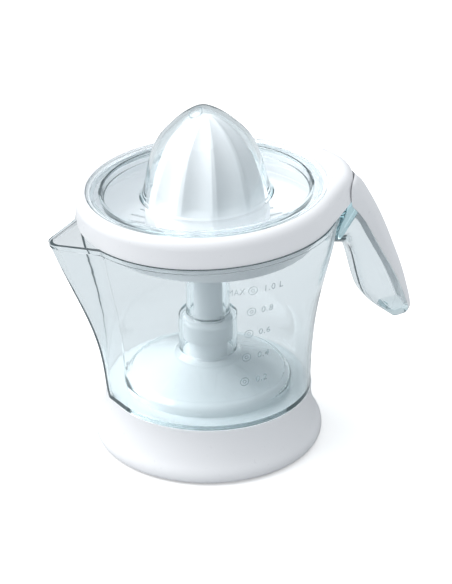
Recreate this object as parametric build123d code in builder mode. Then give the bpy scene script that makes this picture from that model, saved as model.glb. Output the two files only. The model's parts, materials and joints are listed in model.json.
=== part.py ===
from build123d import *

# Citrus press juicer: a motor base, a clear one-litre jug, a strainer ring, a reamer and a dome lid.
# Millimetres. The origin is where the spindle axis meets the surface that the juicer stands on.
# +Z is up, +X points to the handle and -X to the spout.
import os
from math import acos, atan2, cos, hypot, pi, radians, sin

# ---- driving dimensions ----
WALL = 2.2  # moulded wall of every shell
GAP = 0.3  # clearance between pieces that move apart

# outer line of the motor base from its foot up to the seat under the jug: radius, height
SKIRT = ((67.3, 1.2), (68.7, 3.6), (68.5, 7.2), (66.2, 11.6), (63.9, 17), (62.4, 23.5))
SEAT_R = 62.2  # radius of the seat under the jug
SEAT_Z = 33.0  # height of that seat
PLATEAU_R = 47.3  # raised middle of the base
TOWER_R = 11.5  # tower that carries the spindle bearing
TOWER_Z = 64.0

JUG_Z = SEAT_Z + 0.2  # underside of the jug
RIM_Z = 144.1  # rim plane on the axis
TILT = 2.5  # degrees that the rim, ring and lid rise towards the handle
CREASE = 18.0  # degrees each side of -X where the spout's flanks leave the round wall
CHIMNEY_R = 13.0  # tube in the jug that the spindle runs up
CHIMNEY_Z = 136.0
SHOULDER_R = 17.5  # wider foot of that tube
SHOULDER_Z = 80.5

RING_R = 75.6  # outer radius of the white strainer ring
RING_H = 16.6  # its height above the rim plane
LOBE_X, LOBE_R = 45.0, 43.2  # round nose of the ring, towards the handle
LID_R = 69.2
LID_SEAT_H = 14.0
ANNULUS_H = 12.0  # flat of the lid above the rim plane
FLOOR_Z = 127.0  # underside of the strainer floor
HUB_R = 14.0

SPINDLE_R = 8.5
SPINDLE_Z = 141.0  # shoulder that the cone rests on
SHAFT_R = 4.0
HEX_FLAT = 14.0  # across flats of the drive head
CONE_R = 36.0
CONE_Z = 135.2  # lower edge of the cone
CONE_RIBS = 10
RIB_START = 4.5  # degrees from +X to the first rib
RIB_DEPTH = 2.6

HANDLE_WALL = 2.4

PLATE_Z = 5.0  # underside of the base plate
PLATE_T = 2.0
DECK_T = 1.5  # gear plate thickness
DECK_Z = 22.8  # its underside
POST_SPOTS = ((-47, -14), (-8, 26), (15, 0))  # posts under the gear plate
CORE_SPOTS = ((21, -12), (21, -29.2), (-33.5, -28.6))  # posts under the stator
CORE_Z, CORE_T = 10.4, 9.0  # underside and thickness of the stator
CASE_SCREW_R = 53.0  # circle of the screws that hold the base plate
FOOT_R = 56.0  # circle of the feet

# gear train: rotor pinion, two compound gears and the output gear
MOTOR_MODULE, OUTPUT_MODULE = 0.7, 0.8
PINION_TEETH, WHEEL_TEETH, LAST_PINION_TEETH = 12, 42, 14
ROTOR_XY = (-22.1, -19.7)
FIRST_XY = (-31.5, -3.3)
SECOND_XY = (-19.4, 11.2)

slope = radians(TILT)
rim_x, rim_up = (cos(slope), 0, sin(slope)), (-sin(slope), 0, cos(slope))
rim_plane = Plane(origin=(0, 0, RIM_Z), x_dir=rim_x, z_dir=rim_up)
rim_section = Plane(origin=(0, 0, RIM_Z), x_dir=rim_x, z_dir=(0, -1, 0))
rim_axis = Axis((0, 0, RIM_Z), rim_up)
PLATE_TOP = PLATE_Z + PLATE_T
DECK_TOP = DECK_Z + DECK_T


def finish(builder, name):
    """Labels a finished piece and writes it as its own STEP file."""
    builder.part.label = name
    export_step(builder.part, f"parts/{name}.step")


def outline(*corners):
    """A closed face from (across, up, corner radius) triples."""
    with BuildSketch() as sketch:
        with BuildLine():
            FilletPolyline([(x, y) for x, y, r in corners], radius=[r for x, y, r in corners], close=True)
        make_face()
    return sketch.sketch


def upright(angle):
    """The vertical plane through the axis at that angle from +X."""
    a = radians(angle)
    return Plane(origin=(0, 0, 0), x_dir=(cos(a), sin(a), 0), z_dir=(sin(a), -cos(a), 0))


def gear_face(teeth, module):
    """A spur gear's outline with flat-sided teeth, one tooth centred on +X."""
    pitch = teeth * module / 2
    tip, root = pitch + 0.9 * module, pitch - 1.15 * module
    quarter = pi / teeth / 2
    points = []
    for tooth in range(teeth):
        middle = 2 * pi * tooth / teeth
        for radius, share in ((root, -1.45), (pitch, -0.9), (tip, -0.42), (tip, 0.42), (pitch, 0.9), (root, 1.45)):
            points.append((radius * cos(middle + share * quarter), radius * sin(middle + share * quarter)))
    with BuildSketch() as sketch:
        Polygon(*points, align=None)
    return sketch.sketch


def direction(start, end):
    """Degrees from +X of the line between two axes."""
    return atan2(end[1] - start[1], end[0] - start[0]) * 180 / pi


def meshed(driver_turn, towards, driver_teeth, teeth):
    """The turn that sets a gear in mesh with its driver, which lies back along the line of centres."""
    pitch_share = (towards - driver_turn) / (360 / driver_teeth)
    return towards + 180 + (0.5 - pitch_share) * (-360 / teeth)


os.makedirs("parts", exist_ok=True)

# ---- motor base ----
with BuildPart() as base_housing:
    with BuildSketch(Plane.XZ):
        with BuildLine():
            skirt = Spline(*SKIRT, (SEAT_R, SEAT_Z))
            Polyline(skirt @ 1, (PLATEAU_R, SEAT_Z), (PLATEAU_R, SEAT_Z + 3.8))
            ThreePointArc((PLATEAU_R, SEAT_Z + 3.8), (46.4, 39.1), (44.2, 40.6))
            Polyline((44.2, 40.6), (20, 50.3), (TOWER_R, 51.6), (TOWER_R, TOWER_Z), (10, TOWER_Z))
            Line((10, TOWER_Z), (10, TOWER_Z + 3))
            Polyline((10, TOWER_Z + 3), (7, TOWER_Z + 3), (7, 48.6), (19.2, 48), (43.4, 38.9), (45.1, 37.2))
            Polyline((45.1, 37.2), (45.1, SEAT_Z - WALL), (60, SEAT_Z - WALL), (60, 24))
            Spline((60, 24), (61.7, 17), (64, 11.4), (66.4, 6.8), (66.4, 4.4), (65.6, 1.2))
            Line((65.6, 1.2), skirt @ 0)
        make_face()
    revolve(axis=Axis.Z)
    with BuildSketch(Plane.XY.offset(PLATE_TOP)):
        with PolarLocations(CASE_SCREW_R, 3, start_angle=60):
            Circle(4)
    extrude(amount=SEAT_Z - WALL - PLATE_TOP)
    with BuildSketch(Plane.XY.offset(PLATE_TOP)):
        with PolarLocations(CASE_SCREW_R, 3, start_angle=60):
            Circle(1.55)
    extrude(amount=18, mode=Mode.SUBTRACT)
    with BuildSketch(Plane.XZ.offset(-56)):
        with Locations((0, 14)):
            Circle(4.5)
    extrude(amount=-16, mode=Mode.SUBTRACT)
    with BuildSketch(Plane.XY.offset(SEAT_Z)):
        with PolarLocations(PLATEAU_R + 0.05, 3, start_angle=242):
            Rectangle(0.8, 3)
    extrude(amount=3.4)
finish(base_housing, "base_housing")

with BuildPart() as base_plate:
    with BuildSketch(Plane.XZ):
        add(outline((0, 0, 0), (17, 0, 1), (17, PLATE_Z, 0), (65.4, PLATE_Z, 0.6), (65.4, PLATE_TOP, 0),
                    (7.8, PLATE_TOP, 0), (7.8, 10, 0), (6.2, 10, 0), (6.2, 2, 0), (0, 2, 0)))
    revolve(axis=Axis.Z)
    with BuildSketch(Plane.XY.offset(PLATE_TOP)):
        with Locations(*POST_SPOTS):
            Circle(3)
    extrude(amount=DECK_Z - PLATE_TOP)
    with BuildSketch(Plane.XY.offset(PLATE_TOP)):
        with Locations(*CORE_SPOTS):
            Circle(2.6)
    extrude(amount=CORE_Z - PLATE_TOP)
    with BuildSketch(Plane.XY.offset(PLATE_TOP)):
        with Locations(ROTOR_XY):
            Circle(4.6)
    extrude(amount=2.2)
    with BuildSketch(Plane.XY.offset(PLATE_TOP)):
        with Locations(ROTOR_XY):
            Circle(3)
    extrude(amount=2.2, mode=Mode.SUBTRACT)
    with BuildSketch(Plane.XY.offset(DECK_Z)):
        with Locations(*POST_SPOTS):
            Circle(1.25)
    extrude(amount=-10, mode=Mode.SUBTRACT)
    with BuildSketch(Plane.XY.offset(PLATE_Z)):
        with Locations(*CORE_SPOTS):
            Circle(1.25)
        with PolarLocations(CASE_SCREW_R, 3, start_angle=60):
            Circle(1.7)
        with PolarLocations(FOOT_R, 4, start_angle=20):
            Circle(2.1)
        with PolarLocations(38, 14, start_angle=100, angular_range=70):
            SlotCenterToCenter(14, 2)
    extrude(amount=6, mode=Mode.SUBTRACT)
finish(base_plate, "base_plate")

with BuildPart() as rubber_feet:
    with BuildSketch():
        with PolarLocations(FOOT_R, 4, start_angle=20):
            Circle(5.5)
    extrude(amount=PLATE_Z, taper=4)
    with BuildSketch(Plane.XY.offset(PLATE_Z)):
        with PolarLocations(FOOT_R, 4, start_angle=20):
            Circle(2)
    extrude(amount=PLATE_T + 1)
finish(rubber_feet, "rubber_feet")

with BuildPart() as housing_screws:
    with BuildSketch(Plane.XY.offset(PLATE_Z - 2)):
        with PolarLocations(CASE_SCREW_R, 3, start_angle=60):
            Circle(3)
    extrude(amount=2)
    with BuildSketch(Plane.XY.offset(PLATE_Z)):
        with PolarLocations(CASE_SCREW_R, 3, start_angle=60):
            Circle(1.5)
    extrude(amount=16)
    with BuildSketch(Plane.XY.offset(PLATE_Z - 2)):
        with PolarLocations(CASE_SCREW_R, 3, start_angle=60):
            Rectangle(3.6, 0.8)
            Rectangle(0.8, 3.6)
    extrude(amount=1, mode=Mode.SUBTRACT)
finish(housing_screws, "housing_screws")

with BuildPart() as cord_gland:
    with BuildSketch(Plane.YZ):
        add(outline((58.4, 16.8, 0), (68, 16.8, 0), (68, 18.4, 0.8), (60, 18.4, 0), (60, 20.4, 0.5), (58.4, 20.4, 0.5)))
    revolve(axis=Axis((0, 0, 14), (0, 1, 0)))
finish(cord_gland, "cord_gland")

with BuildPart() as tower_cap:
    with BuildSketch(Plane.XZ):
        add(outline((10.05, TOWER_Z, 0), (14.75, TOWER_Z, 1), (14.75, 75.5, 1.6), (8.9, 75.5, 0.5), (8.9, 73.6, 0),
                    (12.4, 73.6, 0), (12.4, 70, 0), (10.05, 70, 0)))
    revolve(axis=Axis.Z)
finish(tower_cap, "tower_cap")

with BuildPart() as shaft_seal:
    with BuildSketch(Plane.XZ):
        add(outline((4.05, 67.2, 0), (9.9, 67.2, 0), (9.9, 69.4, 0.4), (6, 68.6, 0), (4.05, 69.6, 0)))
    revolve(axis=Axis.Z)
finish(shaft_seal, "shaft_seal")

with BuildPart() as upper_bush:
    with BuildSketch(Plane.XZ):
        add(outline((SHAFT_R + 0.05, 56, 0.3), (6.98, 56, 0.3), (6.98, TOWER_Z + 3, 0),
                    (SHAFT_R + 0.05, TOWER_Z + 3, 0.3)))
    revolve(axis=Axis.Z)
finish(upper_bush, "upper_bush")

with BuildPart() as lower_bush:
    with BuildSketch(Plane.XZ):
        add(outline((SHAFT_R + 0.05, DECK_Z, 0.3), (5.98, DECK_Z, 0.3), (5.98, DECK_TOP, 0), (6.8, DECK_TOP, 0),
                    (6.8, 26, 0), (5.6, 26, 0), (5.6, 28.4, 0.3), (SHAFT_R + 0.05, 28.4, 0.3)))
    revolve(axis=Axis.Z)
finish(lower_bush, "lower_bush")

with BuildPart() as gear_plate:
    with BuildSketch(Plane.XY.offset(DECK_Z)):
        Polygon((-51, -19), (-29, -29), (-8, -23), (19, -5), (19, 5), (4, 10), (-4, 31), (-13, 31), (-31, 18),
                (-51, -9), align=None)
    extrude(amount=DECK_T)
    fillet(gear_plate.edges().filter_by(Axis.Z), 3)
    with BuildSketch(Plane.XY.offset(DECK_Z)):
        Circle(6)
        with Locations(ROTOR_XY):
            Circle(3)
        with Locations(FIRST_XY, SECOND_XY):
            Circle(1.5)
        with Locations(*POST_SPOTS):
            Circle(1.6)
    extrude(amount=DECK_T, mode=Mode.SUBTRACT)
finish(gear_plate, "gear_plate")

with BuildPart() as gear_plate_screws:
    with BuildSketch(Plane.XY.offset(DECK_TOP)):
        with Locations(*POST_SPOTS):
            Circle(2.5)
    extrude(amount=1.6)
    with BuildSketch(Plane.XY.offset(DECK_TOP)):
        with Locations(*POST_SPOTS):
            Circle(1.2)
    extrude(amount=-9)
finish(gear_plate_screws, "gear_plate_screws")


def axle(name, spot, top):
    """A steel gear axle pressed into the gear plate."""
    with BuildPart() as pin:
        with BuildSketch(Plane.XY.offset(DECK_Z)):
            with Locations(spot):
                Circle(1.5)
        extrude(amount=top - DECK_Z)
        chamfer(pin.edges().filter_by(GeomType.CIRCLE).sort_by(Axis.Z)[-1], 0.3)
    finish(pin, name)


axle("first_gear_axle", FIRST_XY, 35.4)
axle("second_gear_axle", SECOND_XY, 43.6)


# ---- motor ----
with BuildPart() as stator_core:
    with BuildSketch(Plane.XY.offset(CORE_Z)):
        Polygon((-36, -33), (26, -33), (26, -8), (-36, -8), (-36, -15.2), (16, -15.2), (16, -24.2),
                (-36, -24.2), align=None)
        with Locations(ROTOR_XY):
            Circle(9.2, mode=Mode.SUBTRACT)
        with Locations(*CORE_SPOTS):
            Circle(1.6, mode=Mode.SUBTRACT)
    extrude(amount=CORE_T)
finish(stator_core, "stator_core")

with BuildPart() as motor_screws:
    with BuildSketch(Plane.XY.offset(CORE_Z + CORE_T)):
        with Locations(*CORE_SPOTS):
            Circle(2.4)
    extrude(amount=1.6)
    with BuildSketch(Plane.XY.offset(CORE_Z + CORE_T)):
        with Locations(*CORE_SPOTS):
            Circle(1.2)
    extrude(amount=-CORE_T - 3)
finish(motor_screws, "motor_screws")

LIMB_Y, LIMB_Z = -28.6, CORE_Z + CORE_T / 2  # middle of the limb that carries the coil
LIMB_BREADTH = 8.8
COIL_X, COIL_LENGTH = -9.0, 22.0
coil_end = Plane(origin=(COIL_X, LIMB_Y, LIMB_Z), x_dir=(0, 1, 0), z_dir=(1, 0, 0))
with BuildPart() as coil_bobbin:
    with BuildSketch(coil_end):
        RectangleRounded(LIMB_BREADTH + 1.8, CORE_T + 1.8, 1)
    extrude(amount=COIL_LENGTH)
    with BuildSketch(coil_end, coil_end.offset(COIL_LENGTH - 1)):
        RectangleRounded(LIMB_BREADTH + 6, CORE_T + 6.2, 1.5)
    extrude(amount=1)
    with BuildSketch(coil_end):
        Rectangle(LIMB_BREADTH + 0.1, CORE_T + 0.1)
    extrude(amount=COIL_LENGTH, mode=Mode.SUBTRACT)
finish(coil_bobbin, "coil_bobbin")

with BuildPart() as coil_winding:
    with BuildSketch(coil_end.offset(1)):
        RectangleRounded(LIMB_BREADTH + 5.2, CORE_T + 5.4, 2.4)
        RectangleRounded(LIMB_BREADTH + 1.9, CORE_T + 1.9, 1, mode=Mode.SUBTRACT)
    extrude(amount=COIL_LENGTH - 2)
finish(coil_winding, "coil_winding")

with BuildPart() as rotor_bearings:
    with BuildSketch(Plane.XY.offset(PLATE_TOP)):
        with Locations(ROTOR_XY):
            Circle(2.98)
            Circle(1.05, mode=Mode.SUBTRACT)
    extrude(amount=2.2)
    with BuildSketch(Plane.XY.offset(DECK_TOP - 2.2)):
        with Locations(ROTOR_XY):
            Circle(2.98)
            Circle(1.05, mode=Mode.SUBTRACT)
    extrude(amount=2.2)
finish(rotor_bearings, "rotor_bearings")

with BuildPart() as rotor_shaft:
    with BuildSketch(Plane.XY.offset(PLATE_TOP + 0.2)):
        with Locations(ROTOR_XY):
            Circle(1)
    extrude(amount=23.4)
finish(rotor_shaft, "rotor_shaft")

with BuildPart() as rotor_magnet:
    with BuildSketch(Plane.XY.offset(9.8)):
        with Locations(ROTOR_XY):
            Circle(8.4)
            Circle(1.01, mode=Mode.SUBTRACT)
    extrude(amount=10.2)
finish(rotor_magnet, "rotor_magnet")

# each gear is turned so that its teeth stand in the gaps of the one that drives it
PINION_TURN = 0
FIRST_TURN = meshed(PINION_TURN, direction(ROTOR_XY, FIRST_XY), PINION_TEETH, WHEEL_TEETH)
SECOND_TURN = meshed(FIRST_TURN, direction(FIRST_XY, SECOND_XY), PINION_TEETH, WHEEL_TEETH)
OUTPUT_TURN = meshed(SECOND_TURN, direction(SECOND_XY, (0, 0)), LAST_PINION_TEETH, WHEEL_TEETH)

with BuildPart() as rotor_pinion:
    with BuildSketch(Plane.XY.offset(DECK_TOP + 0.6)):
        with Locations(Location((*ROTOR_XY, 0), (0, 0, PINION_TURN))):
            add(gear_face(PINION_TEETH, MOTOR_MODULE))
        with Locations(ROTOR_XY):
            Circle(1.01, mode=Mode.SUBTRACT)
    extrude(amount=5)
finish(rotor_pinion, "rotor_pinion")


def compound_gear(name, spot, turn, wheel_z, wheel_t, pinion_teeth, pinion_module, pinion_t):
    """A moulded wheel with a smaller pinion on top and a hub below that keeps its height."""
    with BuildPart() as gear:
        with BuildSketch(Plane.XY.offset(wheel_z)):
            with Locations(Location((*spot, 0), (0, 0, turn))):
                add(gear_face(WHEEL_TEETH, MOTOR_MODULE))
        extrude(amount=wheel_t)
        with BuildSketch(Plane.XY.offset(wheel_z + wheel_t)):
            with Locations(Location((*spot, 0), (0, 0, turn))):
                add(gear_face(pinion_teeth, pinion_module))
        extrude(amount=pinion_t)
        with BuildSketch(Plane.XY.offset(DECK_TOP + 0.2)):
            with Locations(spot):
                Circle(2.9)
        extrude(amount=wheel_z - DECK_TOP - 0.2)
        with BuildSketch(Plane.XY.offset(wheel_z)):
            with Locations(spot):
                Circle(12)
                Circle(4.5, mode=Mode.SUBTRACT)
        extrude(amount=0.9, mode=Mode.SUBTRACT)
        with BuildSketch(Plane.XY.offset(DECK_TOP)):
            with Locations(spot):
                Circle(1.56)
        extrude(amount=25, mode=Mode.SUBTRACT)
    finish(gear, name)


compound_gear("first_gear", FIRST_XY, FIRST_TURN, 25.4, 3.8, PINION_TEETH, MOTOR_MODULE, 5.2)
compound_gear("second_gear", SECOND_XY, SECOND_TURN, 30.2, 3.6, LAST_PINION_TEETH, OUTPUT_MODULE, 8.8)

# ---- switch that the spindle closes ----
with BuildPart() as switch_body:
    with BuildSketch(Plane.XY.offset(PLATE_TOP)):
        with Locations((16, 12)):
            RectangleRounded(20, 9, 0.8)
    extrude(amount=4.5)
    with BuildSketch(Plane.XZ.offset(-12)):
        Polygon((22.6, 11.5), (25.4, 11.5), (25.4, 15.6), (22.6, 15.6), align=None)
    extrude(amount=4, both=True)
    with BuildSketch(Plane.XZ.offset(-12)):
        Polygon((22, 12), (26, 12), (26, 16), (22, 16), align=None)
    extrude(amount=2.5, both=True, mode=Mode.SUBTRACT)
    with BuildSketch(Plane.XY.offset(PLATE_TOP + 1)):
        with Locations((12, 12)):
            Circle(1.5)
    extrude(amount=5, mode=Mode.SUBTRACT)
    with BuildSketch(Plane.XZ.offset(-12)):
        with Locations((24, 14.5)):
            Circle(0.6)
    extrude(amount=5, both=True, mode=Mode.SUBTRACT)
finish(switch_body, "switch_body")

with BuildPart() as switch_pin:
    with BuildSketch(Plane.XZ.offset(-12)):
        with Locations((24, 14.5)):
            Circle(0.58)
    extrude(amount=4, both=True)
finish(switch_pin, "switch_pin")

with BuildPart() as switch_lever:
    with BuildSketch(Plane.XZ.offset(-12)):
        Polygon((-2.5, 13.9), (24, 13.9), (24, 15.2), (-2.5, 15.2), align=None)
        with Locations((24, 14.5)):
            Circle(1.3)
            Circle(0.65, mode=Mode.SUBTRACT)
    extrude(amount=2.1, both=True)
finish(switch_lever, "switch_lever")

with BuildPart() as switch_button:
    with BuildSketch(Plane.XY.offset(PLATE_TOP + 2.4)):
        with Locations((12, 12)):
            Circle(1.4)
    extrude(amount=4)
    fillet(switch_button.edges().sort_by(Axis.Z)[-1], 0.5)
finish(switch_button, "switch_button")

with BuildPart() as terminal_block:
    with BuildSketch(Plane.XY.offset(PLATE_TOP)):
        with Locations((-4, 43)):
            RectangleRounded(26, 10, 1)
    extrude(amount=9)
    with BuildSketch(Plane.XY.offset(PLATE_TOP + 9)):
        with Locations((-4, 43)):
            with GridLocations(8, 0, 3, 1):
                Circle(2)
    extrude(amount=-5, mode=Mode.SUBTRACT)
finish(terminal_block, "terminal_block")

# ---- spindle ----
with BuildPart() as return_spring:
    with BuildLine():
        coil_path = Helix(pitch=1.36, height=6.5, radius=4.8, center=(0, 0, 2.5))
    with BuildSketch(Plane(origin=coil_path @ 0, z_dir=coil_path % 0)):
        Circle(0.45)
    sweep()
finish(return_spring, "return_spring")

with BuildPart() as thrust_cup:
    with BuildSketch(Plane.XZ):
        add(outline((0, 9.5, 0), (5.9, 9.5, 0.4), (5.9, 17, 0.3), (SHAFT_R + 0.05, 17, 0),
                    (SHAFT_R + 0.05, 11.2, 0), (0, 11.2, 0)))
    revolve(axis=Axis.Z)
    with BuildSketch(Plane.XY.offset(15.5)):
        with Locations((0, 9.4)):
            RectangleRounded(5, 8.6, 0.8)
    extrude(amount=1.5)
    with BuildSketch(Plane.XY.offset(11.2)):
        Circle(SHAFT_R + 0.05)
    extrude(amount=6, mode=Mode.SUBTRACT)
finish(thrust_cup, "thrust_cup")

with BuildPart() as spindle_shaft:
    with BuildSketch(Plane.XY.offset(11.3)):
        Circle(SHAFT_R)
    extrude(amount=88.7)
    chamfer(spindle_shaft.edges().filter_by(GeomType.CIRCLE), 0.4)
finish(spindle_shaft, "spindle_shaft")

with BuildPart() as retaining_ring:
    with BuildSketch(Plane.XY.offset(54.8)):
        Circle(6.2)
        Circle(SHAFT_R + 0.01, mode=Mode.SUBTRACT)
        with Locations((6, 0)):
            Rectangle(5, 3, mode=Mode.SUBTRACT)
    extrude(amount=0.9)
finish(retaining_ring, "retaining_ring")

with BuildPart() as output_gear:
    with BuildSketch(Plane.XY.offset(37.2)):
        with Locations(Location((0, 0, 0), (0, 0, OUTPUT_TURN))):
            add(gear_face(WHEEL_TEETH, OUTPUT_MODULE))
    extrude(amount=4)
    with BuildSketch(Plane.XY.offset(35)):
        Circle(6.8)
    extrude(amount=9)
    with BuildSketch(Plane.XY.offset(35)):
        Circle(SHAFT_R + 0.01)
    extrude(amount=9, mode=Mode.SUBTRACT)
finish(output_gear, "output_gear")

with BuildPart() as drive_spindle:
    with BuildSketch(Plane.XY.offset(72.6)):
        Circle(SPINDLE_R)
    extrude(amount=SPINDLE_Z - 72.6)
    fillet(drive_spindle.edges().sort_by(Axis.Z)[-1], 0.6)
    with BuildSketch(Plane.XY.offset(SPINDLE_Z)):
        RegularPolygon(HEX_FLAT / 2, 6, major_radius=False)
    extrude(amount=22)
    chamfer(drive_spindle.faces().sort_by(Axis.Z)[-1].edges(), 1.2)
    with BuildSketch(Plane.XY.offset(72.6)):
        Circle(SHAFT_R + 0.01)
    extrude(amount=27.6, mode=Mode.SUBTRACT)
finish(drive_spindle, "drive_spindle")


# ---- jug ----
# height, wall radius, reach of the spout from the axis, radius of the spout's tip
JUG_LEVELS = (
    (JUG_Z, 61.7, 62.9, 6.0),
    (47.0, 61.7, 65.0, 4.0),
    (66.0, 62.7, 68.0, 3.6),
    (84.0, 64.7, 73.3, 4.0),
    (104.0, 68.5, 81.2, 4.6),
    (125.0, 73.2, 89.8, 6.2),
    (152.0, 75.6, 99.5, 9.0),
)


def spout_face(radius, reach, tip):
    """A circle drawn out to a rounded V at -X."""
    a = radians(180 - CREASE)
    crease = (radius * cos(a), radius * sin(a))
    centre_x = tip - reach
    across, up = crease[0] - centre_x, crease[1]
    turn = atan2(up, across) + acos(tip / hypot(across, up))
    touch = (centre_x + tip * cos(turn), tip * sin(turn))
    with BuildSketch() as sketch:
        with BuildLine():
            ThreePointArc((crease[0], -crease[1]), (radius, 0), crease)
            Line(crease, touch)
            ThreePointArc(touch, (-reach, 0), (touch[0], -touch[1]))
            Line((touch[0], -touch[1]), (crease[0], -crease[1]))
        make_face()
    return sketch.sketch


def jug_form(inset, bottom):
    """The jug's outer shape, or its hollow when inset by the wall."""
    with BuildPart() as form:
        for height, radius, reach, tip in JUG_LEVELS:
            with BuildSketch(Plane.XY.offset(max(height, bottom))):
                add(spout_face(radius - inset, reach - 1.15 * inset, tip - 0.6 * inset))
        loft()
    return form.part


# slices of the handle in the XZ plane, from the rim to the tip:
# back (palm side) point, front (finger side) point, half breadth, corner radius
HANDLE_SLICES = (
    ((79.5, 161.5), (66, 140), 29, 8),
    ((88, 158.3), (70, 128), 26, 8.5),
    ((95.5, 149), (74, 117), 19.5, 8.5),
    ((103, 137.4), (84.6, 112.6), 14.8, 8),
    ((110.5, 123), (89.5, 105), 12.7, 7.5),
    ((118, 105.6), (92.4, 95), 11.8, 7.5),
    ((124.3, 89.5), (95.5, 83.6), 11.4, 7.5),
    ((129, 74), (101, 72.2), 10.8, 7),
    ((131.6, 63), (111.6, 62), 9.6, 6),
    ((130, 56.6), (120.2, 55), 5.8, 2.8),
)
# the line in the XZ plane where the white cover meets the clear handle
SPLIT = ((70, 152), (84.6, 139.2), (95.3, 125.6), (103, 112.6), (111.2, 98.2), (118.2, 85.6), (124.6, 71),
         (130.8, 55))


def handle_form(slices, inset):
    """A smooth handle through its slices, drawn in by the inset on every side."""
    with BuildPart() as form:
        for (back_x, back_z), (front_x, front_z), half, corner in slices:
            depth = hypot(back_x - front_x, back_z - front_z)
            across = ((back_x - front_x) / depth, 0, (back_z - front_z) / depth)
            middle = ((back_x + front_x) / 2, 0, (back_z + front_z) / 2)
            with BuildSketch(Plane(origin=middle, x_dir=across, z_dir=(across[2], 0, -across[0]))):
                RectangleRounded(depth - 2 * inset, 2 * (half - inset), max(corner - inset, 0.8))
        loft()
    return form.part


def palm_side(shift):
    """Everything behind the split line, outside the ring's nose."""
    with BuildPart() as side:
        with BuildSketch(Plane.XZ):
            with BuildLine():
                line = Spline(*[(x + shift, z + 0.7 * shift) for x, z in SPLIT])
                Polyline(line @ 1, (150, 40), (150, 180), (60, 180), line @ 0)
            make_face()
        extrude(amount=40, both=True)
        with BuildSketch():
            with Locations((LOBE_X, 0)):
                Circle(LOBE_R + 0.2 + shift)
        extrude(amount=200, mode=Mode.SUBTRACT)
    return side.part


handle_solid = handle_form(HANDLE_SLICES, 0)
handle_hollow = handle_form(HANDLE_SLICES[2:9], HANDLE_WALL)

with BuildPart() as rim_bead:
    with BuildSketch(Plane.XY.offset(130)):
        add(spout_face(76.6, 95, 8.6))
        add(spout_face(72.6, 90, 6), mode=Mode.SUBTRACT)
    extrude(amount=30)
    split(bisect_by=rim_plane.offset(-2.6), keep=Keep.TOP)

with BuildPart() as jug:
    add(jug_form(0, JUG_Z))
    add(handle_solid - palm_side(0) - handle_hollow)
    add(rim_bead.part)
    add(jug_form(WALL, JUG_Z + WALL), mode=Mode.SUBTRACT)
    with BuildSketch(Plane.XY.offset(JUG_Z)):
        Circle(49)
    extrude(amount=WALL, mode=Mode.SUBTRACT)
    with BuildSketch(Plane.XZ):
        add(outline((47.9, JUG_Z, 0), (52, JUG_Z, 0), (52, JUG_Z + WALL, 0), (50.1, JUG_Z + WALL, 0), (50.1, 39, 3),
                    (46, 43.9, 2), (20.3, 53.3, 2), (SHOULDER_R, 56.6, 1), (SHOULDER_R, SHOULDER_Z, 3.2),
                    (CHIMNEY_R, SHOULDER_Z, 1), (CHIMNEY_R, CHIMNEY_Z, 0.6), (10.8, CHIMNEY_Z, 0.6),
                    (10.8, SHOULDER_Z - WALL, 1), (15.3, SHOULDER_Z - WALL, 1.8), (15.3, 54.6, 1), (18.8, 51.5, 1),
                    (45.1, 41.6, 2), (47.9, 38.3, 2)))
    revolve(axis=Axis.Z)
    split(bisect_by=rim_plane, keep=Keep.BOTTOM)
finish(jug, "jug")

with BuildPart() as handle_cover:
    add((handle_solid & palm_side(0.15)) - handle_hollow)
finish(handle_cover, "handle_cover")

# ---- strainer ring ----
with BuildPart() as collector:
    with BuildSketch(rim_plane.offset(0.2)):
        with Locations((0, 0)):
            Circle(RING_R)
        with Locations((LOBE_X, 0)):
            Circle(LOBE_R)
        make_hull()
    extrude(amount=RING_H - 0.2)
    fillet(collector.faces().sort_by(rim_axis)[-1].edges(), 5.6)
    with BuildSketch(rim_plane):
        Circle(RING_R - WALL)
        with Locations((LOBE_X, 0)):
            Circle(LOBE_R - WALL)
        make_hull()
    extrude(amount=RING_H - 4.4, mode=Mode.SUBTRACT)
    with BuildSketch(rim_section):
        add(outline((64.9, -4, 0), (69.3, -4, 0), (69.3, LID_SEAT_H, 0), (71.8, LID_SEAT_H, 0),
                    (71.8, RING_H - 1.4, 0), (67.2, RING_H - 1.4, 0), (67.2, 2, 0)))
    revolve(axis=rim_axis)
    with BuildSketch(rim_section):
        Polygon((0, LID_SEAT_H), (69.6, LID_SEAT_H), (69.9, RING_H + 1), (0, RING_H + 1), align=None)
        Polygon((0, -8), (66.9, -8), (67.2, LID_SEAT_H), (0, LID_SEAT_H), align=None)
    revolve(axis=rim_axis, mode=Mode.SUBTRACT)
    with BuildSketch(Plane.XZ):
        add(outline((HUB_R, FLOOR_Z, 0), (60, FLOOR_Z, 6), (68.6, 138, 4), (68.9, 143, 0), (66.7, 143, 0),
                    (66.5, 139.6, 4), (59.2, FLOOR_Z + WALL, 6), (HUB_R + WALL, FLOOR_Z + WALL, 0),
                    (HUB_R + WALL, 138, 0.6), (HUB_R, 138, 0.6)))
    revolve(axis=Axis.Z)
    with BuildSketch(Plane.XY.offset(FLOOR_Z)):
        with PolarLocations(28, 24):
            SlotCenterToCenter(10, 2)
        with PolarLocations(45, 36):
            SlotCenterToCenter(12, 2)
    extrude(amount=WALL, mode=Mode.SUBTRACT)
finish(collector, "collector")

with BuildPart() as pulp_wiper:
    with BuildSketch(Plane.XY.offset(FLOOR_Z + WALL + 0.4)):
        with PolarLocations(37, 2, start_angle=35):
            RectangleRounded(36, 2, 0.8)
    extrude(amount=2.4)
    with BuildSketch(Plane.XY.offset(FLOOR_Z + WALL + 0.4)):
        Circle(20)
    extrude(amount=4)
    with BuildSketch(Plane.XY.offset(FLOOR_Z + WALL)):
        Circle(HUB_R + WALL + 0.5)
    extrude(amount=6, mode=Mode.SUBTRACT)
finish(pulp_wiper, "pulp_wiper")

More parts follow.
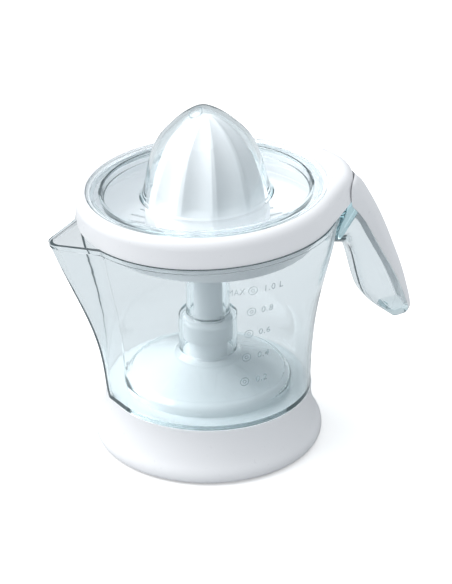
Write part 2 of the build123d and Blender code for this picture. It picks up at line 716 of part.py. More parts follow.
# ---- reamer ----
CONE_PROFILE = ((34, 149.5), (32.6, 158), (29.4, 170), (24.6, 182.5), (17.4, 192.8), (9.6, 199.6), (0, 203))


def cone_face(depth):
    """Half of the cone's section, drawn in by the rib depth."""
    with BuildSketch() as sketch:
        with BuildLine():
            drawn_in = [(max(r - depth, 0), z - 0.8 * depth) for r, z in CONE_PROFILE]
            side = Spline(*drawn_in, tangents=((-0.06, 1), (-1, 0)))
            Polyline(side @ 1, (0, 140), (side.position_at(0).X, 140), side @ 0)
        make_face()
    return sketch.sketch


with BuildPart() as juicing_cone:
    with BuildSketch(Plane.XZ):
        add(cone_face(RIB_DEPTH))
    revolve(axis=Axis.Z)
    for rib in range(CONE_RIBS):
        with BuildSketch(upright(RIB_START + rib * 360 / CONE_RIBS)):
            add(cone_face(0))
        extrude(amount=2.2, both=True)
    with BuildSketch(Plane.XZ):
        add(outline((0, CONE_Z, 0), (CONE_R, CONE_Z, 0.8), (CONE_R, 147, 2), (33, 150.4, 1), (0, 150.4, 0)))
    revolve(axis=Axis.Z)
    with BuildSketch(Plane.XZ):
        add(outline((0, CONE_Z - 1, 0), (33.6, CONE_Z - 1, 0), (33.6, 146, 2), (28.8, 152, 2), (26, 166, 2), (21.5, 178, 3),
                    (14, 187, 1.5), (11.5, 187, 0), (11.5, SPINDLE_Z + GAP, 0), (0, SPINDLE_Z + GAP, 0)))
    revolve(axis=Axis.Z, mode=Mode.SUBTRACT)
    with BuildSketch(Plane.XY.offset(SPINDLE_Z)):
        RegularPolygon(HEX_FLAT / 2 + 0.3, 6, major_radius=False)
    extrude(amount=23, mode=Mode.SUBTRACT)
finish(juicing_cone, "juicing_cone")

# ---- lid ----
# outer line of the dome from its foot to its top, and the line under it
DOME = ((37.6, 12.8), (36.1, 17), (34, 26), (31.8, 34), (28.6, 42), (24.6, 48), (19.8, 53), (14.6, 57.8), (8.4, 62.2),
        (3, 64.8), (0, 65.2))
UNDER_DOME = ((0, 63), (2.6, 62.6), (7.4, 60.2), (13.2, 56), (18.2, 51.4), (22.8, 46.6), (26.5, 41), (29.7, 33.4),
              (31.9, 25.4), (34, 16.4), (35.2, 12))
with BuildPart() as lid:
    with BuildSketch(rim_section):
        with BuildLine():
            dome = Spline(*DOME)
            Line(dome @ 1, UNDER_DOME[0])
            under = Spline(*UNDER_DOME)
            Polyline(under @ 1, (37, ANNULUS_H - WALL), (61.2, ANNULUS_H - WALL), (62, LID_SEAT_H + 0.2),
                     (65.2, LID_SEAT_H + 0.2), (65.2, 11.4), (66.8, 11.4), (66.8, LID_SEAT_H + 0.2),
                     (LID_R, LID_SEAT_H + 0.2), (LID_R, RING_H), (60.6, RING_H), (59.2, ANNULUS_H),
                     (38.9, ANNULUS_H), dome @ 0)
        make_face()
    revolve(axis=rim_axis)
    fillet(lid.edges().filter_by(lambda e: e.geom_type == GeomType.CIRCLE and 59 < e.radius < 61), 0.8)
finish(lid, "lid")
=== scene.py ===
"""Looks of a citrus press juicer: clear jug and lid, white base, strainer ring and reamer, pale stage."""
import json
from math import cos, hypot, pi, radians, sin, sqrt

import bmesh
import bpy
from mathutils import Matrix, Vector


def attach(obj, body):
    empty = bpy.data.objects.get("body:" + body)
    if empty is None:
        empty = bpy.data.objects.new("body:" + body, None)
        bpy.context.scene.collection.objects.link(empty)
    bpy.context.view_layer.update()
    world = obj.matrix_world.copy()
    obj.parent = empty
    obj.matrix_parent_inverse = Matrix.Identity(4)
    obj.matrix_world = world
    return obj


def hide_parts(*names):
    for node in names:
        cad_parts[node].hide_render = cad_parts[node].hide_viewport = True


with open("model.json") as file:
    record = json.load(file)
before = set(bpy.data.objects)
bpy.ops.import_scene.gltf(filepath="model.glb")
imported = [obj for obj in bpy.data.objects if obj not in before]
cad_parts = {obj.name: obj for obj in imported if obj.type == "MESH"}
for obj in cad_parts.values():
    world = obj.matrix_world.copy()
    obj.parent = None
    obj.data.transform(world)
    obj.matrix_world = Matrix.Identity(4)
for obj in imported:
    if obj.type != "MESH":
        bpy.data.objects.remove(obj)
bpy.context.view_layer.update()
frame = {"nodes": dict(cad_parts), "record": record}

bl_info = {
    "name": "Citrus Press Juicer",
    "version": (1, 0, 0),
    "blender": (4, 5, 0),
    "location": "View3D > Sidebar > Juicer",
    "description": "Makes the finishes, the reamer, the litre scale and the stage of a citrus press juicer",
    "category": "Object",
}

MM = 0.001
RIM_Z = 144.1  # rim plane of the jug on the spindle axis, mm
TILT = radians(2.5)  # the rim rises towards the handle
REAMER_SEGMENTS = 360  # points round the reamer
REAMER_FOOT_Z = 150  # where the flutes start, mm
RIB_HALF_WIDTH = 0.069  # flat crest each side of a rib's middle, as a share of the ribs' spacing
FLUTE_RUN_OUT = 7  # height over which the flutes deepen, mm
CAMERA_TURN = radians(21.5)  # from the front towards the spout's side
CAMERA_RISE = radians(26.77)
CAMERA_DISTANCE = 1.1205
CAMERA_LENS = 117.12
GATE_CENTRE = (-5.4, -3.2)  # in the rim's plane, mm
GATE_RADII = (3.5, 4.0)
DOME = ((37.6, 12.8), (36.1, 17), (34, 26), (31.8, 34), (28.6, 42), (24.6, 48), (19.8, 53), (14.6, 57.8),
        (8.4, 62.2), (3, 64.8), (0, 65.2))  # radius and height above the rim of the lid's dome, mm


# ---- shader expressions ----
class Field:
    """A number that varies over a surface or a mesh, for use in Python expressions."""

    def __init__(self, maker, socket):
        self.maker = maker
        self.socket = socket

    def apply(self, operation, *values):
        node = self.maker.node("ShaderNodeMath", {"operation": operation}, dict(enumerate(values)))
        return Field(self.maker, node.outputs[0])

    def __add__(self, other):
        return self.apply("ADD", self, other)

    def __radd__(self, other):
        return self.apply("ADD", other, self)

    def __sub__(self, other):
        return self.apply("SUBTRACT", self, other)

    def __rsub__(self, other):
        return self.apply("SUBTRACT", other, self)

    def __mul__(self, other):
        return self.apply("MULTIPLY", self, other)

    def __rmul__(self, other):
        return self.apply("MULTIPLY", other, self)

    def __truediv__(self, other):
        return self.apply("DIVIDE", self, other)

    def __rtruediv__(self, other):
        return self.apply("DIVIDE", other, self)

    def __pow__(self, other):
        return self.apply("POWER", self, other)

    def limited(self):
        """The number kept between 0 and 1."""
        return self.apply("MINIMUM", self.apply("MAXIMUM", self, 0.0), 1.0)


class Maker:
    """Adds nodes to a node tree."""

    def __init__(self, tree):
        self.tree = tree

    def node(self, kind, settings=None, sockets=None):
        """A node of that type, with its settings first and then its sockets' values or links."""
        node = self.tree.nodes.new(kind)
        for key, value in (settings or {}).items():
            setattr(node, key, value)
        for key, value in (sockets or {}).items():
            if isinstance(value, Field):
                value = value.socket
            if isinstance(value, bpy.types.NodeSocket):
                self.tree.links.new(value, node.inputs[key])
            else:
                node.inputs[key].default_value = value
        return node

    def field(self, kind, output, settings=None, sockets=None):
        return Field(self, self.node(kind, settings, sockets).outputs[output])

    def mixed(self, factor, low, high):
        """A colour between two colours."""
        mix = self.node("ShaderNodeMix", {"data_type": "RGBA"}, {0: factor, 6: low, 7: high})
        return mix.outputs[2]

    def stretched(self, scale):
        """Object coordinates, stretched along the axes."""
        place = self.node("ShaderNodeTexCoord")
        sockets = {"Vector": place.outputs["Object"], "Scale": scale}
        return self.node("ShaderNodeMapping", None, sockets).outputs[0]

    def noise(self, scale, detail=3.0, stretch=(1, 1, 1)):
        sockets = {"Vector": self.stretched(stretch), "Scale": scale, "Detail": detail}
        return self.field("ShaderNodeTexNoise", 0, None, sockets)


def new_material(name):
    """An empty material with its maker and output node."""
    material = bpy.data.materials.new(name)
    material.use_nodes = True
    material.node_tree.nodes.clear()
    maker = Maker(material.node_tree)
    return material, maker, maker.node("ShaderNodeOutputMaterial")


def solid_material(name, colour, dark, roughness, metallic=0.0, grain=400.0, relief=0.00002,
                   stretch=(1, 1, 1), spread=0.12, coat=0.0, pattern=None):
    """A closed finish: a colour drifting to a darker one, a roughness that varies and a fine relief."""
    material, maker, output = new_material(name)
    drift = maker.noise(22.0, 4.0)
    grains = maker.noise(grain, 2.0, stretch)
    height = grains if pattern is None else pattern(maker) + grains * 0.15
    bump = maker.node("ShaderNodeBump", None, {"Strength": 0.6, "Distance": relief, "Height": height})
    shader = maker.node("ShaderNodeBsdfPrincipled", None, {
        "Base Color": maker.mixed(drift, (*dark, 1), (*colour, 1)),
        "Roughness": roughness + (grains - 0.5) * spread,
        "Metallic": metallic,
        "Coat Weight": coat,
        "Normal": bump.outputs[0],
    })
    maker.tree.links.new(shader.outputs[0], output.inputs[0])
    return material


def stripes(axis, spacing):
    """A height that rises and falls along an axis, such as stacked sheets or turns of wire."""
    def pattern(maker):
        settings = {"wave_type": "BANDS", "bands_direction": axis, "wave_profile": "SIN"}
        coordinates = maker.node("ShaderNodeTexCoord").outputs["Object"]
        sockets = {"Vector": coordinates, "Scale": 0.314 / spacing}
        return maker.field("ShaderNodeTexWave", 1, settings, sockets)
    return pattern


def clear_material(name, tint, depth, painted_glow):
    """A clear moulding that bends light and is tinted along its walls, with a faint painted glow at each face
    that lights the edges where light stays trapped in the walls.
    """
    material, maker, output = new_material(name)
    flow = maker.noise(38.0, 3.0, (1, 1, 0.35))
    shader = maker.node("ShaderNodeBsdfPrincipled", None, {
        "Base Color": (0.988, 0.993, 0.996, 1),
        "Roughness": 0.01 + flow * 0.03,
        "IOR": 1.47,
        "Transmission Weight": 1.0,
        # Painted glow: emission at every clear face stands in for light lost where paths stay trapped in the
        # walls, and it tints the dark edges teal.
        "Emission Color": (*painted_glow, 1),
        "Emission Strength": 1.0,
        "Normal": maker.node("ShaderNodeBump", None, {
            "Strength": 0.35, "Distance": 0.0002, "Height": flow}).outputs[0],
    })
    lamps = maker.node("ShaderNodeLightPath").outputs["Is Shadow Ray"]
    through = maker.node("ShaderNodeBsdfTransparent", None, {"Color": (1.0, 1.0, 1.0, 1)})
    mix = maker.node("ShaderNodeMixShader", None, {0: lamps, 1: shader.outputs[0], 2: through.outputs[0]})
    bulk = maker.node("ShaderNodeVolumeAbsorption", None, {"Color": (*tint, 1), "Density": depth})
    maker.tree.links.new(mix.outputs[0], output.inputs["Surface"])
    maker.tree.links.new(bulk.outputs[0], output.inputs["Volume"])
    return material


def floor_material():
    """A pale grey floor that reads white where it is seen directly."""
    paper, maker, output = new_material("floor")
    drift = maker.noise(6.0)
    grey = maker.node("ShaderNodeBsdfPrincipled", None, {
        "Base Color": maker.mixed(drift, (0.58, 0.59, 0.6, 1), (0.595, 0.605, 0.615, 1)), "Roughness": 0.9})
    white = maker.node("ShaderNodeBsdfPrincipled", None, {
        "Base Color": maker.mixed(drift, (0.965, 0.965, 0.965, 1), (0.97, 0.97, 0.97, 1)), "Roughness": 0.9,
        "Emission Color": (1, 1, 1, 1), "Emission Strength": 0.36})
    direct = maker.node("ShaderNodeLightPath").outputs["Is Camera Ray"]
    mix = maker.node("ShaderNodeMixShader", None, {0: direct, 1: grey.outputs[0], 2: white.outputs[0]})
    maker.tree.links.new(mix.outputs[0], output.inputs[0])
    return paper


def relief_material(name, colour, painted_edge_shade):
    """Raised figures in a clear wall, painted as a faint darker line: painted shade stands in for the light
    the clear figures bend away, and it grows darker where the surface turns away from view.
    """
    material, maker, output = new_material(name)
    # Painted shade: the colour moves towards the darker edge colour as the surface turns away from view.
    weight = maker.node("ShaderNodeLayerWeight", None, {"Blend": 0.5})
    painted_grazing_shade = Field(maker, weight.outputs["Facing"]) ** 1.5
    shader = maker.node("ShaderNodeBsdfPrincipled", None, {
        "Base Color": maker.mixed(painted_grazing_shade, (*colour, 1), (*painted_edge_shade, 1)), "Roughness": 0.2})
    through = maker.node("ShaderNodeBsdfTransparent", None, {"Color": (0.96, 0.98, 0.98, 1)})
    veil = (0.22 + painted_grazing_shade * 0.4 + (maker.noise(300.0) - 0.5) * 0.2).limited()
    mix = maker.node("ShaderNodeMixShader", None, {0: veil, 1: through.outputs[0], 2: shader.outputs[0]})
    maker.tree.links.new(mix.outputs[0], output.inputs[0])
    return material


# ---- mesh helpers ----
def mesh_object(name, vertices, faces, smooth=60.0):
    """A mesh object at the origin, with faces smoothed up to that angle in degrees."""
    mesh = bpy.data.meshes.new(name)
    mesh.from_pydata([tuple(c * MM for c in v) for v in vertices], [], faces)
    mesh.validate()
    mesh.shade_smooth()
    mesh.set_sharp_from_angle(angle=radians(smooth))
    obj = bpy.data.objects.new(name, mesh)
    bpy.context.scene.collection.objects.link(obj)
    return obj


def densified(points, step):
    """The polyline with extra points so that no span is longer than step."""
    dense = []
    for (r0, z0), (r1, z1) in zip(points, points[1:]):
        count = max(1, round(sqrt((r1 - r0) ** 2 + (z1 - z0) ** 2) / step))
        dense += [(r0 + (r1 - r0) * i / count, z0 + (z1 - z0) * i / count) for i in range(count)]
    return dense + [points[-1]]


def rounded(points, passes=3):
    """The polyline with its corners cut, ends kept."""
    for _ in range(passes):
        cut = [points[0]]
        for (r0, z0), (r1, z1) in zip(points, points[1:]):
            cut += [(0.75 * r0 + 0.25 * r1, 0.75 * z0 + 0.25 * z1),
                    (0.25 * r0 + 0.75 * r1, 0.25 * z0 + 0.75 * z1)]
        points = cut + [points[-1]]
    return points


def lathe(profile, segments):
    """Vertices and faces of a (radius, height) line turned about the spindle axis, closed at both poles."""
    vertices, faces = [(0, 0, profile[0][1]), (0, 0, profile[-1][1])], []
    rings = profile[1:-1]
    for r, z in rings:
        vertices += [(r * cos(2 * pi * i / segments), r * sin(2 * pi * i / segments), z)
                     for i in range(segments)]
    for i in range(segments):
        j = (i + 1) % segments
        faces.append((0, 2 + i, 2 + j))
        last = 2 + (len(rings) - 1) * segments
        faces.append((1, last + j, last + i))
        for k in range(len(rings) - 1):
            a, b = 2 + k * segments, 2 + (k + 1) * segments
            faces.append((a + i, b + i, b + j, a + j))
    return vertices, faces


def outward(obj):
    """Turns every face of a closed mesh outwards."""
    work = bmesh.new()
    work.from_mesh(obj.data)
    bmesh.ops.recalc_face_normals(work, faces=work.faces)
    work.to_mesh(obj.data)
    work.free()


def place(obj, body, slot_name, material, *replaced):
    """Gives a finished piece its material and its body."""
    obj.data.materials.clear()
    obj.data.materials.append(material)
    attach(obj, body)
    if replaced:
        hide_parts(*replaced)


def wall_radius(z):
    """Radius of the jug's round wall at that height, mm."""
    levels = ((33.2, 61.7), (47, 61.7), (66, 62.7), (84, 64.7), (104, 68.5), (125, 73.2), (152, 75.6))
    for (z0, r0), (z1, r1) in zip(levels, levels[1:]):
        if z <= z1:
            return r0 + (r1 - r0) * (z - z0) / (z1 - z0)
    return levels[-1][1]


def on_rim(x, y, height):
    """A point in the tilted frame of the rim: its place and its height above the rim plane."""
    return (x * cos(TILT) - height * sin(TILT), y, RIM_Z + x * sin(TILT) + height * cos(TILT))


def dome_height(r):
    """Height of the lid's dome above the rim at that radius, mm."""
    for (r0, h0), (r1, h1) in zip(DOME, DOME[1:]):
        if r >= r1:
            return h0 + (h1 - h0) * (r - r0) / (r1 - r0)
    return DOME[-1][1]


# ---- settings ----
def colour_property(name, description, default):
    return bpy.props.FloatVectorProperty(
        name=name, description=description, default=default, size=3, min=0.0, max=1.0, subtype="COLOR")


class JuicerSettings(bpy.types.PropertyGroup):
    white: colour_property("White", "Colour of the white mouldings", (0.9, 0.905, 0.925))
    tint: colour_property("Tint", "Colour that the clear mouldings take on along a wall", (0.25, 0.76, 0.84))
    tint_depth: bpy.props.FloatProperty(
        name="Tint depth", description="How fast the tint builds up along a wall, per metre", default=15.0,
        min=0.0)
    # Painted glow: emission on the clear mouldings that lifts their dark edges. It is not light given back by
    # the plastic.
    painted_glow: colour_property("Glow", "Light that clear mouldings give back at each face", (0.009, 0.0125, 0.014))
    rib_count: bpy.props.IntProperty(
        name="Ribs", description="Ribs round the reamer", default=10, min=3, max=16)
    rib_turn: bpy.props.FloatProperty(
        name="First rib", description="Angle from the handle's side to the first rib", default=radians(4.5),
        subtype="ANGLE")
    rib_depth: bpy.props.FloatProperty(
        name="Flute depth", description="Depth of the flutes as a share of the reamer's radius", default=0.1,
        min=0.0, max=0.3, subtype="FACTOR")
    mark_height: bpy.props.FloatProperty(
        name="Mark height", description="Height of the scale's figures", default=4.0 * MM, unit="LENGTH")
    mark_relief: bpy.props.FloatProperty(
        name="Mark relief", description="How far the scale stands out of the jug", default=0.3 * MM,
        unit="LENGTH")


def settings():
    return bpy.context.scene.juicer_settings


def material(name):
    """A finish made by the finishes operator."""
    if name not in bpy.data.materials:
        raise RuntimeError(f"the finish {name} is not made yet")
    return bpy.data.materials[name]


# ---- operators ----
class JUICER_OT_finishes(bpy.types.Operator):
    """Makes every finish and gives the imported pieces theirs"""

    bl_idname = "juicer.finishes"
    bl_label = "Finishes"

    def execute(self, context):
        look = settings()
        white = tuple(look.white)
        shade = tuple(c * 0.975 for c in white)
        made = {
            "white_plastic": solid_material("white moulding", white, shade, 0.3, coat=0.15, relief=0.00001),
            "clear_plastic": clear_material("clear moulding", tuple(look.tint), look.tint_depth,
                                            tuple(look.painted_glow)),
            "seal_rubber": solid_material("seal rubber", (0.6, 0.61, 0.63), (0.5, 0.51, 0.53), 0.7,
                                          grain=900),
            "foot_rubber": solid_material("foot rubber", (0.42, 0.43, 0.45), (0.34, 0.35, 0.37), 0.75,
                                          grain=900),
            "gland_rubber": solid_material("gland rubber", (0.8, 0.8, 0.82), (0.72, 0.72, 0.74), 0.6,
                                           grain=700),
            "steel": solid_material("ground steel", (0.62, 0.62, 0.63), (0.5, 0.5, 0.51), 0.28, 1.0, 900,
                                    stretch=(1, 1, 0.05)),
            "zinc_steel": solid_material("zinc plate", (0.68, 0.69, 0.68), (0.56, 0.57, 0.55), 0.35, 1.0,
                                         500),
            "spring_steel": solid_material("drawn wire", (0.55, 0.55, 0.56), (0.42, 0.42, 0.43), 0.3, 1.0,
                                           1200),
            "laminations": solid_material("stacked sheets", (0.3, 0.31, 0.34), (0.22, 0.23, 0.25), 0.45,
                                          1.0, 600, 0.0001, pattern=stripes("Z", 0.5 * MM)),
            "magnet": solid_material("magnet", (0.1, 0.1, 0.11), (0.06, 0.06, 0.065), 0.6, 0.3, 900,
                                     0.00005),
            "bronze": solid_material("sintered bronze", (0.6, 0.42, 0.22), (0.45, 0.3, 0.15), 0.42, 1.0,
                                     1500, 0.00004),
            "copper": solid_material("wound copper", (0.75, 0.36, 0.17), (0.55, 0.24, 0.11), 0.3, 0.9,
                                     500, 0.0002, pattern=stripes("X", 0.35 * MM)),
            "gear_nylon": solid_material("gear nylon", (0.86, 0.84, 0.78), (0.8, 0.78, 0.71), 0.42,
                                         grain=500),
            "black_plastic": solid_material("black moulding", (0.05, 0.05, 0.055), (0.03, 0.03, 0.035),
                                            0.42),
            "bobbin_plastic": solid_material("bobbin", (0.78, 0.77, 0.7), (0.7, 0.69, 0.62), 0.45),
        }
        made["cover_plastic"] = made["white_plastic"]
        # Scale relief: a grey-teal colour and a darker edge colour, painted shade for clear raised figures
        # and the gate ring.
        relief_material("scale relief", (0.45, 0.52, 0.57), (0.2, 0.3, 0.35))
        slots = {part["node"]: part["material_slot"] for part in frame["record"]["subparts"]}
        for node, obj in frame["nodes"].items():
            for index in range(len(obj.material_slots)):
                obj.material_slots[index].material = made[slots[node]]
            if not obj.material_slots:
                obj.data.materials.append(made[slots[node]])
        return {"FINISHED"}


def flute_tree():
    """A node tree that presses flutes between the ribs of a smooth reamer."""
    tree = bpy.data.node_groups.new("Reamer flutes", "GeometryNodeTree")
    tree.interface.new_socket("Geometry", in_out="OUTPUT", socket_type="NodeSocketGeometry")
    tree.interface.new_socket("Geometry", in_out="INPUT", socket_type="NodeSocketGeometry")
    for name in ("Ribs", "Turn", "Depth", "Foot"):
        tree.interface.new_socket(name, in_out="INPUT", socket_type="NodeSocketFloat")
    tree.interface.new_socket("Finish", in_out="INPUT", socket_type="NodeSocketMaterial")
    maker = Maker(tree)
    entry = maker.node("NodeGroupInput")
    leave = maker.node("NodeGroupOutput")
    position = maker.node("GeometryNodeInputPosition")
    split = maker.node("ShaderNodeSeparateXYZ", None, {0: position.outputs[0]})
    x, y, z = (Field(maker, split.outputs[i]) for i in range(3))
    count = Field(maker, entry.outputs["Ribs"])
    share = (y.apply("ARCTAN2", y, x) - Field(maker, entry.outputs["Turn"])) / (2 * pi) * count + 0.5
    off = share - share.apply("FLOOR", share) - 0.5
    past_rib = ((off.apply("ABSOLUTE", off) - RIB_HALF_WIDTH) / (0.5 - RIB_HALF_WIDTH)).limited()
    flute = past_rib * (2 - past_rib)
    rise = ((z - Field(maker, entry.outputs["Foot"])) / (FLUTE_RUN_OUT * MM)).limited()
    keep = 1 - flute * rise * Field(maker, entry.outputs["Depth"])
    outer = maker.node("GeometryNodeInputNamedAttribute", {"data_type": "FLOAT"}, {"Name": "outer"})
    pressed = maker.node("ShaderNodeCombineXYZ", None, {0: x * keep, 1: y * keep, 2: z})
    moved = maker.node("GeometryNodeSetPosition", None, {
        "Geometry": entry.outputs["Geometry"], "Selection": outer.outputs["Attribute"],
        "Position": pressed.outputs[0]})
    real = maker.node("GeometryNodeRealizeInstances", None, {0: moved.outputs[0]})
    finish = maker.node("GeometryNodeSetMaterial", None, {
        "Geometry": real.outputs[0], "Material": entry.outputs["Finish"]})
    tree.links.new(finish.outputs[0], leave.inputs[0])
    return tree


def baked(obj, tree, values):
    """The object's mesh after the tree has worked on it, with the modifier taken off again."""
    modifier = obj.modifiers.new("tree", "NODES")
    modifier.node_group = tree
    sockets = {s.name: s.identifier for s in tree.interface.items_tree
               if s.item_type == "SOCKET" and s.in_out == "INPUT"}
    for name, value in values.items():
        modifier[sockets[name]] = value
    graph = bpy.context.evaluated_depsgraph_get()
    mesh = bpy.data.meshes.new_from_object(obj.evaluated_get(graph))
    obj.modifiers.remove(modifier)
    obj.data = mesh


class JUICER_OT_reamer(bpy.types.Operator):
    """Makes the ribbed reamer"""

    bl_idname = "juicer.reamer"
    bl_label = "Reamer"

    def execute(self, context):
        look = settings()
        foot = [(35.2, 135.2), (36, 136), (36, 145.6), (35.2, 147.2), (33.8, 149), (34.1, 151)]
        dome = [(32.6, 158), (29.4, 170), (24.6, 182.5), (17.4, 192.8), (9.6, 199.6), (4, 202.5), (0, 203)]
        outer = densified(rounded([(34.1, 151)] + dome, 3), 1.6)
        hollow = [(0, 164), (8.4, 164), (8.4, 141.4), (11.4, 141.4), (11.4, 187), (14, 187), (21.5, 178),
                  (26, 166), (28.8, 152), (33.4, 146), (33.4, 135.2)]
        profile = hollow + foot[:-1] + outer
        vertices, faces = lathe(profile, REAMER_SEGMENTS)
        obj = mesh_object("reamer", vertices, faces, 50.0)
        first_outer = 2 + (len(hollow) + len(foot) - 2) * REAMER_SEGMENTS
        mark = obj.data.attributes.new("outer", "FLOAT", "POINT")
        mark.data.foreach_set("value", [float(i == 1 or i >= first_outer) for i in range(len(vertices))])
        baked(obj, flute_tree(), {
            "Ribs": float(look.rib_count), "Turn": look.rib_turn, "Depth": look.rib_depth,
            "Foot": REAMER_FOOT_Z * MM, "Finish": material("white moulding")})
        outward(obj)
        place(obj, "cone", "white_plastic", material("white moulding"), "juicing_cone")
        return {"FINISHED"}


def wrapped(obj, angle, z):
    """Bends a flat mesh, drawn about the origin in metres, onto the jug's wall."""
    r = wall_radius(z / MM) * MM
    for vertex in obj.data.vertices:
        u, v, w = vertex.co
        turn = radians(angle) + u / r
        here = wall_radius((z + v) / MM) * MM + w
        vertex.co = (here * cos(turn), here * sin(turn), z + v)


def figure(words, height, relief, width=None):
    """Raised figures as a mesh that starts at the origin, squeezed to the width if one is given."""
    curve = bpy.data.curves.new("figure", "FONT")
    curve.body, curve.size, curve.extrude = words, height / 0.72, relief
    curve.align_x, curve.align_y = "LEFT", "CENTER"
    curve.space_character, curve.offset = 1.15, -0.00006
    text = bpy.data.objects.new("figure", curve)
    bpy.context.scene.collection.objects.link(text)
    graph = bpy.context.evaluated_depsgraph_get()
    mesh = bpy.data.meshes.new_from_object(text.evaluated_get(graph))
    bpy.data.objects.remove(text)
    if width:
        squeeze = width / max(vertex.co.x for vertex in mesh.vertices)
        for vertex in mesh.vertices:
            vertex.co.x *= squeeze
    obj = bpy.data.objects.new("figure", mesh)
    bpy.context.scene.collection.objects.link(obj)
    return obj


def ring_faces(count):
    """Faces that join four loops of points, and the last loop to the first."""
    faces = []
    for k in range(4):
        a, b = k * count, (k + 1) % 4 * count
        faces += [(a + i, a + (i + 1) % count, b + (i + 1) % count, b + i) for i in range(count)]
    return faces


def ring_mark(radius, width, relief):
    """A raised ring as a mesh, flat about the origin."""
    vertices, count = [], 32
    for r, h in ((radius - width, -relief), (radius - width, relief), (radius, relief), (radius, -relief)):
        vertices += [(r / MM * cos(2 * pi * i / count), r / MM * sin(2 * pi * i / count), h / MM)
                     for i in range(count)]
    return mesh_object("ring_mark", vertices, ring_faces(count), 40.0)


def joined(name, objects):
    """One object made of several meshes."""
    work = bmesh.new()
    for obj in objects:
        work.from_mesh(obj.data)
        bpy.data.objects.remove(obj)
    bmesh.ops.remove_doubles(work, verts=work.verts, dist=1e-7)
    bmesh.ops.recalc_face_normals(work, faces=work.faces)
    mesh = bpy.data.meshes.new(name)
    work.to_mesh(mesh)
    work.free()
    obj = bpy.data.objects.new(name, mesh)
    bpy.context.scene.collection.objects.link(obj)
    return obj


class JUICER_OT_scale(bpy.types.Operator):
    """Raises the litre scale on the front of the jug"""

    bl_idname = "juicer.scale"
    bl_label = "Litre scale"

    def execute(self, context):
        look = settings()
        marks = []
        for words, z, ring_turn, turn in (("0.2", 64.0, -91.7, -85.4), ("0.4", 80.6, -91.3, -85.3),
                                          ("0.6", 96.9, -91.1, -86.0), ("0.8", 112.4, -90.9, -86.1),
                                          ("1.0 L", 127.0, -91.2, -86.3)):
            text = figure(words, look.mark_height, look.mark_relief)
            wrapped(text, turn, z * MM)
            ring = ring_mark(2.7 * MM, 0.3 * MM, look.mark_relief)
            wrapped(ring, ring_turn, z * MM)
            core = ring_mark(1.1 * MM, 0.3 * MM, look.mark_relief)
            wrapped(core, ring_turn, z * MM)
            marks += [text, ring, core]
        full = figure("MAX", look.mark_height, look.mark_relief, 10 * MM)
        wrapped(full, -102.7, 127 * MM)
        obj = joined("litre_scale", marks + [full])
        place(obj, "jug", "clear_plastic", material("scale relief"))
        return {"FINISHED"}


class JUICER_OT_gate(bpy.types.Operator):
    """Raises the ring left by the mould's gate beside the top of the lid"""

    bl_idname = "juicer.gate"
    bl_label = "Gate ring"

    def execute(self, context):
        vertices, count = [], 48
        (inner, outer), (middle_x, middle_y) = GATE_RADII, GATE_CENTRE
        for r, h in ((inner, -0.3), (inner, 0.4), (outer, 0.4), (outer, -0.3)):
            for i in range(count):
                x, y = middle_x + r * cos(2 * pi * i / count), middle_y + r * sin(2 * pi * i / count)
                vertices.append(on_rim(x, y, dome_height(hypot(x, y)) + h))
        obj = mesh_object("gate_ring", vertices, ring_faces(count), 40.0)
        outward(obj)
        place(obj, "lid", "clear_plastic", material("scale relief"))
        return {"FINISHED"}


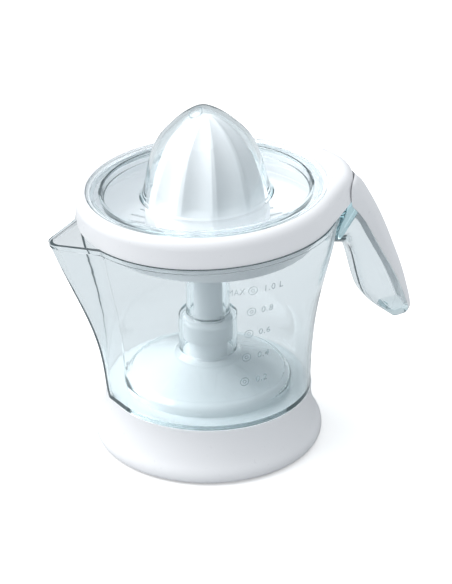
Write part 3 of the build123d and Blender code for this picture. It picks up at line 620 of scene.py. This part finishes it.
class JUICER_OT_stage(bpy.types.Operator):
    """Makes the floor, the soft lights and the camera"""

    bl_idname = "juicer.stage"
    bl_label = "Stage"

    def execute(self, context):
        scene = context.scene
        floor = mesh_object("floor", [(-4000, -4000, -0.2), (4000, -4000, -0.2), (4000, 4000, -0.2),
                                      (-4000, 4000, -0.2)], [(0, 1, 2, 3)])
        floor.data.materials.append(floor_material())
        world = bpy.data.worlds.new("studio")
        world.use_nodes = True
        back = world.node_tree.nodes["Background"]
        back.inputs["Color"].default_value = (0.925, 0.965, 1.0, 1)
        back.inputs["Strength"].default_value = 0.64
        scene.world = world
        right = Vector((cos(CAMERA_TURN), -sin(CAMERA_TURN), 0))
        ahead = Vector((sin(CAMERA_TURN), cos(CAMERA_TURN), 0))
        for name, lit_from, spread, power in (
            ("key", right * -1.0 + ahead * 0.12 + Vector((0, 0, 1.0)), 60.0, 2.1),
            ("top", right * -0.1 - ahead * 0.1 + Vector((0, 0, 1.0)), 60.0, 0.55),
        ):
            light = bpy.data.lights.new(name, "SUN")
            light.angle, light.energy = radians(spread), power
            lamp = bpy.data.objects.new(name, light)
            lamp.location = lit_from
            lamp.rotation_euler = (-lit_from).to_track_quat("-Z", "Y").to_euler()
            scene.collection.objects.link(lamp)
        target = right * 0.01064 + Vector((0, 0, 0.0914))
        eye = target + (-ahead * cos(CAMERA_RISE) + Vector((0, 0, sin(CAMERA_RISE)))) * CAMERA_DISTANCE
        camera = bpy.data.objects.new("camera", bpy.data.cameras.new("camera"))
        camera.data.lens = CAMERA_LENS
        camera.location = eye
        camera.rotation_euler = (target - eye).to_track_quat("-Z", "Y").to_euler()
        scene.collection.objects.link(camera)
        scene.camera = camera
        scene.view_settings.view_transform = "Standard"
        scene.cycles.max_bounces = scene.cycles.transmission_bounces = 24
        scene.cycles.transparent_max_bounces = 24
        return {"FINISHED"}


class JUICER_PT_panel(bpy.types.Panel):
    """Settings and pieces of the juicer"""

    bl_label = "Juicer"
    bl_idname = "JUICER_PT_panel"
    bl_space_type = "VIEW_3D"
    bl_region_type = "UI"
    bl_category = "Juicer"

    def draw(self, context):
        for name in JuicerSettings.__annotations__:
            self.layout.prop(context.scene.juicer_settings, name)
        for operator in OPERATORS:
            self.layout.operator(operator.bl_idname)


OPERATORS = (JUICER_OT_finishes, JUICER_OT_reamer, JUICER_OT_scale, JUICER_OT_gate, JUICER_OT_stage)


def register():
    for cls in (JuicerSettings, *OPERATORS, JUICER_PT_panel):
        bpy.utils.register_class(cls)
    bpy.types.Scene.juicer_settings = bpy.props.PointerProperty(type=JuicerSettings)


def unregister():
    del bpy.types.Scene.juicer_settings
    for cls in reversed((JuicerSettings, *OPERATORS, JUICER_PT_panel)):
        bpy.utils.unregister_class(cls)


def main():
    register()
    bpy.ops.juicer.finishes()
    bpy.ops.juicer.reamer()
    bpy.ops.juicer.scale()
    bpy.ops.juicer.gate()
    bpy.ops.juicer.stage()
    bpy.context.view_layer.update()


if __name__ == "__main__":
    main()
